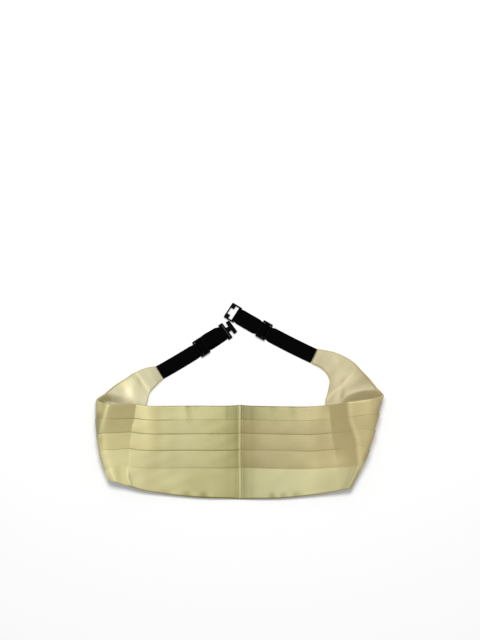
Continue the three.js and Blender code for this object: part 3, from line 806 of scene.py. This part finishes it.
def pleat_layout(band, s):
    """How the pleats lie at each point of the grid."""
    total = band.width(s)
    slant = band.slant(s)
    index, share = band_rows()
    bands = len(PLEATS) + 1
    x = np.abs(band.surface(s, UPPER_THIRD)[..., 0])
    anchors = [np.zeros_like(total)]
    for n, pleat in enumerate(PLEATS):
        strays = PLEAT_WANDER * wander(x, seed=31 + n + 7 * band.sign, wave=190)
        depth = pleat * PANEL_HEIGHT * slant + strays
        anchors.append(np.minimum(depth, total - (bands - n - 1) * BAND_LEAST))
    anchors = np.array([*anchors, total])
    start, stop = anchors[index], anchors[index + 1]
    depth = (start + share[:, None] * (stop - start)).T
    from_fold = depth - start.T
    to_next = stop.T - depth
    room = np.clip((total[:, None] - start.T) / (BAND_ROOM * PANEL_HEIGHT), 0, 1)
    # How sharply the folds below and above each row are pressed
    press = np.array([np.interp(x, *zip(*knots)) for knots in PRESSED[band.side]])
    after = press[np.minimum(index, len(PLEATS) - 1)].T
    before = press[np.maximum(index - 1, 0)].T
    high = np.array(PLEAT_HEIGHTS[band.side])[index] * room
    height = high * (1 - share) ** BAND_SLOPE * rolled(from_fold, LIP_ROLL, 1 - LIP_SHARE * before)
    dip = bell(to_next, CREVICE_WIDTH) * (index < bands - 1) * room * after
    lip = bell(from_fold, LIP_WIDTH) * (index > 0) * room * before
    height -= CREVICE_DEPTH * dip
    return Layout(depth / total[:, None], depth, total[:, None], height, np.maximum(dip, lip), index)


def satin_tone_and_painted_light(band, s, x, y, layout):
    """The satin's tone at each point, as a share of its half's own colour, with painted light and painted
    shade in it.
    """
    side, index = band.side, layout.index
    front = smoothstep(FOLD_ROW + 0.5, FOLD_ROW - 0.5, s)
    from_seam = np.abs(x)
    share = np.array(SEAM_SHARE[side])[index]
    # Painted shade towards the seam
    tone = 1 + front * share * (np.interp(from_seam, *zip(*SEAM_PAINTED_SHADE[side])) - 1)
    # Painted shade on the top and lowest bands
    for row in of_side(TOP_SHADES, side):
        within = (index == 0) * smoothstep(row.reach + row.soft, row.reach - row.soft, from_seam)
        tone *= 1 - row.shade * within
    for row in of_side(LOW_SHADES, side):
        within = (index == len(PLEATS)) * bell(from_seam - row.middle, row.half_length)
        tone *= 1 - row.shade * front * within
    # Painted light and shade of the bands and of their bends up to the fold
    bent = smoothstep(-BEND_SOFT, BEND_SOFT, band.outward_of(BENDS[side], x, y)[0])
    flat_tone, bend_tone = (np.array(table[side])[index] for table in (BAND_PAINTED_SHADE, BEND_PAINTED_LIGHT_AND_SHADE))
    tone *= 1 + front * (flat_tone + bent * (bend_tone - flat_tone) - 1)
    for strip in of_side(CAUGHT_LIGHT, side):
        outward, place = band.outward_of(strip.line, x, y)
        begun = np.clip(LIGHT_SETS_IN * place, 0, 1)
        tone *= 1 + strip.light * front * bell(outward - strip.outward, strip.width) * begun
    for strip in of_side(SIDE_STRIPS, side):
        tone *= 1 + strip.light * front * bell(nearest_on(strip.line, x, y)[0], strip.width)
    # Painted shade in the dents
    for dent in of_side(DENTS, side):
        inward, sideways = from_dent(dent, x, y)
        tone *= 1 - dent.shade * front * bell(sideways, dent.width) * np.clip(1 - inward / dent.reach, 0, 1)
    # Painted shade in the pleats' crevices
    tone *= 1 - CREVICE_SHADE * np.clip(layout.crevice, 0, 1) ** CREVICE_FADE
    tone *= 1 + SATIN_MOTTLE * rolling(x, y, seed=5, wave=30)
    # A painted highlight on the seam's ridge
    seam = smoothstep(*SEAM_LIGHT[side], from_seam) * (s < 1)
    return tone + seam * (SEAM_PAINTED_HIGHLIGHT - tone)


def satin_colors_and_painted_light(band, s, x, y, layout):
    side = band.side
    tone = satin_tone_and_painted_light(band, s, x, y, layout)
    colors = np.array(SATIN_TONE[side]) * tone[..., None]
    # Painted light turns greener and bluer, painted shade yellower
    colors[..., 1] *= 1 + GREENER * np.clip(tone - GREENER_ABOVE, 0, 1)
    less_blue = YELLOWER * np.clip(YELLOWER_BELOW - tone, 0, YELLOWEST)
    colors[..., 2] *= 1 + BLUER * np.clip(tone - BLUER_ABOVE, 0, 1) - less_blue
    for row in of_side(TINTS, side):
        near = smoothstep(row.reach + TINT_SOFT, row.reach - TINT_SOFT, np.abs(x))
        within = (layout.index == row.band) * near * smoothstep(FOLD_ROW, FOLD_ROW - 1, s)
        colors *= 1 + within[..., None] * (np.array(row.color) - 1)
    # The margin beside the lining takes its paler colour, with the rim's painted light
    to_edge = np.minimum(layout.depth, layout.total - layout.depth)
    margin = smoothstep(*MARGIN, to_edge) * smoothstep(FOLD_ROW, FOLD_ROW + 1, s)
    colors += margin[..., None] * ((1 + RIM_LIGHT) * np.array(LINING_TONE[side]) - colors)
    return colors


def satin_half(side):
    """One half's band and its satin."""
    band = Band(side)
    stations = band.stations(CLOTH_STEP, SEAM_STEP)
    layout = pleat_layout(band, stations)
    s = stations[:, None]
    points = band.creased(s, band.surface(s, layout.share))
    x, y = points[..., 0], points[..., 1]
    out = band.normals(points)
    # Both halves rise to a low, flat ridge at the seam
    ridge = SEAM_RIDGE * np.clip(1 - s, 0, 1) * smoothstep(*RIDGE_ENDS, np.abs(x))
    edge = rolled(layout.depth, EDGE_ROLL, EDGE_LEAST)
    edge *= rolled(layout.total - layout.depth, EDGE_ROLL, EDGE_LEAST)
    end_edge = rolled((band.last - s) * END_SPACING, EDGE_ROLL, END_LEAST)
    thick = np.maximum((SATIN_WALL + layout.height + ridge) * edge * end_edge, THINNEST_SATIN)
    outer = points + out * (GAP / 2 + thick)[..., None]
    inner = points + out * (GAP / 2)
    colors = satin_colors_and_painted_light(band, s, x, y, layout)
    for grid in (outer, inner):
        grid[0, :, 0] = band.sign * SEAM_CORNER
        grid[..., 2] = np.maximum(grid[..., 2], 0.0)
    uv = cloth_uv(points, len(layout.index) // 3, layout.depth)
    piece = solid(f"satin_{side}", outer, inner, uv, colors)
    return band, finish_piece(piece, satin_material(side), f"panel_{side}")


# Lining

def lining_colors_and_painted_light(side, s, x, y, to_edge, to_end):
    tone = 1 + LINING_MOTTLE * rolling(x, y, seed=9, wave=26)
    blue = np.ones_like(tone)
    # Painted highlights and painted shade on the wings
    for spot in of_side(WING_LIGHT_AND_SHADE_SPOTS, side):
        turn = math.radians(spot.turn)
        dx, dy = x - spot.x, y - spot.y
        along = dx * math.cos(turn) + dy * math.sin(turn)
        across = dy * math.cos(turn) - dx * math.sin(turn)
        near = bell(along, spot.half_length) * bell(across, spot.half_width)
        tone += spot.tone * near
        blue += spot.blue * near
    for ridge in of_side(WING_RIDGES, side):
        away, place = nearest_on(ridge.line, x, y)
        run = np.interp(place, range(len(ridge.line)), ridge.heights) / max(ridge.heights)
        tone += ridge.light * run * bell(away, min(ridge.reach, WIDEST_LIGHT)) * (s > FOLD_ROW + 1)
    # Painted light and shade inside the folds
    for shade in of_side(FOLD_SHADES, side):
        start, stop = shade.ends
        within = smoothstep(-SHADE_EDGE, SHADE_EDGE, nearest_on(shade.line, x, y)[0])
        within *= smoothstep(-SHADE_END, SHADE_END, x - start) * smoothstep(-SHADE_END, SHADE_END, stop - x)
        within *= smoothstep(FOLD_ROW - 1, FOLD_ROW - 0.5, s)
        tone += shade.tone * within
        blue += shade.blue * within
    # Painted light along the wings' edges
    rim = bell(np.maximum(to_edge, 0), RIM_WIDTH) * smoothstep(FOLD_ROW + 0.5, FOLD_ROW + 1, s)
    tone += RIM_LIGHT * rim
    tone -= STITCH_SHADE * bell(to_end - STITCH_LINE, STITCH_SHADE_WIDTH) * (s > FOLD_ROW)
    colors = np.array(LINING_TONE[side]) * tone[..., None]
    colors[..., 2] *= blue
    return colors


def lining_half(side, band):
    """The lining of one half, on the other side of its band."""
    stations = band.stations(LINING_STEP)
    total = band.width(stations)[:, None]
    inset = LINING_INSET / total
    share = inset + np.linspace(0, 1, LINING_ROWS) * (1 - 2 * inset)
    depth = share * total
    s = stations[:, None]
    points = band.creased(s, band.surface(s, share))
    out = band.normals(points)
    to_edge = np.minimum(depth, total - depth) - LINING_INSET
    to_end = np.linalg.norm(points - points[-1:], axis=-1)
    stitches = STITCH_DEPTH * bell(to_end - STITCH_LINE, STITCH_WIDTH)
    hem = HEM_RISE * (1 - smoothstep(*HEM_EDGE, to_end)) - stitches
    thick = (LINING_WALL + hem * (s > FOLD_ROW)) * rolled(to_edge, LINING_ROLL, LINING_LEAST)
    near = points - out * (GAP / 2)
    far = points - out * (GAP / 2 + np.maximum(thick, THINNEST_LINING))[..., None]
    for grid in (near, far):
        grid[0, :, 0] = band.sign * LINING_INSET
        grid[..., 2] = np.maximum(grid[..., 2], LINING_FLOOR)
    colors = lining_colors_and_painted_light(side, s, points[..., 0], points[..., 1], to_edge, to_end)
    piece = solid(f"lining_cloth_{side}", far, near, cloth_uv(points, LINING_GUIDE, depth), colors)
    return finish_piece(piece, lining_material(side), f"lining_{side}")


# Straps

def strap_line(side, band):
    """Length of the strap's line in plan, and a call for its place and side direction at u."""
    strap = STRAPS[side]
    start = (band.surface(band.last, 0.0) + band.surface(band.last, 1.0)) / 2
    start[2] = 0
    end = np.array([strap.end_x * HALF_LENGTH, strap.end_y * PANEL_HEIGHT, 0])
    bend = (start + end) / 2
    bend[1] -= 2 * strap.sag * np.linalg.norm(end - start)
    t = np.linspace(0, 1, PLAN_POINTS)[:, None]
    path = (1 - t) ** 2 * start + 2 * t * (1 - t) * bend + t ** 2 * end
    run = run_of(path)
    tangent = unit((1 - t) * (bend - start) + t * (end - bend))

    def at(u):
        origin = np.stack([np.interp(u, run, path[:, k]) for k in range(3)], -1)
        along = unit(np.stack([np.interp(u, run, tangent[:, k]) for k in range(3)], -1))
        return origin, np.stack([-along[..., 1], along[..., 0], np.zeros_like(u)], -1)

    return run[-1], at


def round_bar(bar_u, bar_z, half_width, reach, quarters):
    """Points round the corners of a flat bar, a quarter turn for each."""
    points = []
    for quarter in quarters:
        middle = (quarter + 0.5) * math.pi / 2
        corner_u = bar_u + math.copysign(half_width, math.cos(middle))
        corner_z = bar_z + math.copysign(HARD_WALL / 2, math.sin(middle))
        for share in (1, 0.5, 0):
            turn = (quarter + share) * math.pi / 2
            points.append((corner_u + reach * math.cos(turn), corner_z + reach * math.sin(turn)))
    return points


def level(u0, u1, z):
    count = math.ceil(abs(u1 - u0) / LEVEL_STEP)
    return [(u0 + (u1 - u0) * n / count, z) for n in range(count + 1)]


def strap_route(length, slide_at):
    """Side view of the strap: through the slide, round the clasp's bar and back to the slide's middle bar."""
    half = STRAP_WALL / 2
    close = GAP + half
    second = STRAP_WALL + GAP + half
    slide = (slide_at * length, SLIDE_LEVEL + HARD_WALL / 2, SLIDE_MIDDLE / 2)
    clasp = (length - FOLD_ROOM - CLASP_BAR / 2, BAR_LEVEL + HARD_WALL / 2, CLASP_BAR / 2)
    over = close + STRAP_WALL + GAP
    side = slide[2] + over
    inner = SLIDE_LENGTH / 2 - SLIDE_BAR
    return [
        *level(GAP, slide[0] - inner, half),
        (slide[0] - side - ONTO_SLIDE[0] * STRAP_WALL, SLIDE_LEVEL - ONTO_SLIDE[1] * STRAP_WALL),
        *round_bar(*slide, over, (1, 0)),
        (slide[0] + side + OFF_SLIDE[0] * STRAP_WALL, SLIDE_LEVEL + OFF_SLIDE[1] * STRAP_WALL),
        (slide[0] + side + FROM_SLIDE[0] * STRAP_WALL, SLIDE_LEVEL - FROM_SLIDE[1] * STRAP_WALL),
        *level(slide[0] + inner, clasp[0] - CLASP_LEAD * CLASP_BAR, second),
        (clasp[0] - CLASP_BAR, BAR_LEVEL + HARD_WALL + CLASP_RISE * close),
        *round_bar(*clasp, close, (0, -1)),
        *level(clasp[0] - CLASP_BAR, slide[0] + inner, half),
        (slide[0] + side, LIFT_UNDER_SLIDE * half),
        (slide[0] + side - STRAP_WALL, STRAP_WALL),
        *round_bar(*slide, close, (2, 1, 0)),
    ]


def strap_middle(route):
    """Points along a route's smooth curve, and their directions square to it."""
    curve = smooth_curve(route)
    places = []
    for n in range(len(route) - 1):
        count = max(LEAST_STEPS, math.ceil(np.linalg.norm(route[n + 1] - route[n]) / WEBBING_STEP))
        places += [n + k / count for k in range(count)]
    places = np.array(places + [len(route) - 1.0])
    tangent = unit(curve(places + TURN_STEP) - curve(places - TURN_STEP))
    return curve(places), np.stack([-tangent[:, 2], tangent[:, 0]], -1)


def strap_spread(side, middle, past_slide, to_clasp):
    """How much wider than its solid the strap is, and how far it lies to the side."""
    free = smoothstep(*SQUEEZE_AT_SLIDE, np.abs(past_slide)) * smoothstep(*SQUEEZE_AT_CLASP, to_clasp)
    upper = np.arange(len(middle)) < np.argmax(middle[:, 0])
    fan = upper * smoothstep(*FAN_FROM_SLIDE, past_slide) * smoothstep(*FAN_TO_CLASP, to_clasp)
    fan = fan * (FAN_LEAST + (1 - FAN_LEAST) * np.clip(to_clasp / (to_clasp + past_slide), 0, 1))
    return 1 + free * (FREE_WIDTH[side] / STRAP_WIDTH - 1), FAN[side] * fan


def webbing_half(side, band):
    """The elastic of one half and the length of its line."""
    slide_at = STRAPS[side].slide_at
    length, at = strap_line(side, band)
    middle, out = strap_middle(np.array([(u, 0, z) for u, z in strap_route(length, slide_at)]))
    spread, fan = strap_spread(side, middle, middle[:, 0] - slide_at * length, length - middle[:, 0])
    half_width = STRAP_WIDTH / 2
    columns = np.linspace(WEBBING_INNER - half_width, half_width - WEBBING_INNER, WEBBING_COLUMNS)
    cross = np.concatenate([WEBBING_RIM - half_width, columns, half_width - WEBBING_RIM[::-1]])
    to_edge = half_width - np.abs(cross)
    ribs = RIB_HEIGHT * np.cos(2 * math.pi * cross / RIB_WIDTH) * (to_edge > RIB_MARGIN)
    thick = STRAP_WALL / 2 * rolled(to_edge, WEBBING_ROLL, EDGE_LEAST) + ribs - RIB_HEIGHT
    grids = []
    for hand in (1, -1):
        u = middle[:, 0, None] + out[:, 0, None] * hand * thick
        z = middle[:, 2, None] + out[:, 1, None] * hand * thick
        origin, across = at(u)
        points = origin + across * (cross * spread[:, None] + fan[:, None])[..., None]
        points[..., 2] = np.maximum(z, 0)
        grids.append(points)
    run = run_of(middle)
    uv = np.stack(np.broadcast_arrays(run[:, None], cross), -1) * MM
    piece = solid(f"webbing_{side}", *grids, uv)
    return finish_piece(piece, elastic_material(side), f"strap_{side}"), run[-1]


# Hard pieces

def bevelled(node, name):
    """A hard piece like its solid, with rounded edges."""
    source = bpy.data.objects[node]
    piece = bpy.data.objects.new(name, source.data.copy())
    piece.data.materials.clear()
    bpy.context.collection.objects.link(piece)
    weld = piece.modifiers.new("weld", "WELD")
    weld.merge_threshold = WELD
    soft = piece.modifiers.new("soft", "BEVEL")
    soft.width = BEVEL * MM
    soft.segments = BEVEL_STEPS
    soft.limit_method = "ANGLE"
    soft.angle_limit = math.radians(SHARP_ANGLE)
    graph = bpy.context.evaluated_depsgraph_get()
    mesh = bpy.data.meshes.new_from_object(piece.evaluated_get(graph))
    piece.modifiers.clear()
    piece.data = mesh
    mesh.polygons.foreach_set("use_smooth", np.ones(len(mesh.polygons), bool))
    return finish_piece(piece, clasp_material(name), node)


# Floor, light and camera

def add_floor():
    half = FLOOR_HALF
    mesh = bpy.data.meshes.new("floor")
    corners = [(-half, -half, 0), (half, -half, 0), (half, half, 0), (-half, half, 0)]
    mesh.from_pydata(corners, [], [(0, 1, 2, 3)])
    mesh.materials.append(floor_material())
    floor = bpy.data.objects.new("floor", mesh)
    bpy.context.collection.objects.link(floor)
    floor.location.z = -FLOOR_DROP


def add_softbox():
    """A rectangular light above the object and a little behind it."""
    light = bpy.data.lights.new("softbox", "AREA")
    light.shape = "RECTANGLE"
    light.size, light.size_y = SOFTBOX_SIZE
    light.energy = SOFTBOX_WATTS
    lamp = bpy.data.objects.new("softbox", light)
    bpy.context.collection.objects.link(lamp)
    lamp.location = SOFTBOX_PLACE
    x, y, z = SOFTBOX_PLACE
    lamp.rotation_euler = (math.acos(z / np.linalg.norm(SOFTBOX_PLACE)), 0, math.atan2(y, x) + math.pi / 2)


def add_room_light():
    world = bpy.data.worlds.new("studio")
    bpy.context.scene.world = world
    world.use_nodes = True
    background = world.node_tree.nodes["Background"]
    background.inputs["Color"].default_value = (1, 1, 1, 1)
    background.inputs["Strength"].default_value = ROOM_LIGHT


def add_camera():
    lens = bpy.data.cameras.new("camera")
    lens.sensor_fit = "HORIZONTAL"
    lens.sensor_width = 36
    lens.lens = 142
    camera = bpy.data.objects.new("camera", lens)
    bpy.context.collection.objects.link(camera)
    back, up = VIEW_DISTANCE * math.cos(VIEW_ELEVATION), VIEW_DISTANCE * math.sin(VIEW_ELEVATION)
    camera.location = (AIM[0], AIM[1] - back, up)
    camera.rotation_euler = (math.pi / 2 - VIEW_ELEVATION, 0, 0)
    bpy.context.scene.camera = camera
    bpy.context.scene.view_settings.view_transform = "Standard"


for side in SIDES:
    band, satin = satin_half(side)
    lining = lining_half(side, band)
    webbing, webbing_length = webbing_half(side, band)
    bevelled(f"slide_{side}", f"buckle_{side}")
bevelled("t_hook", "hook_black")
bevelled("hook_loop", "loop_black")
add_floor()
add_softbox()
add_room_light()
add_camera()
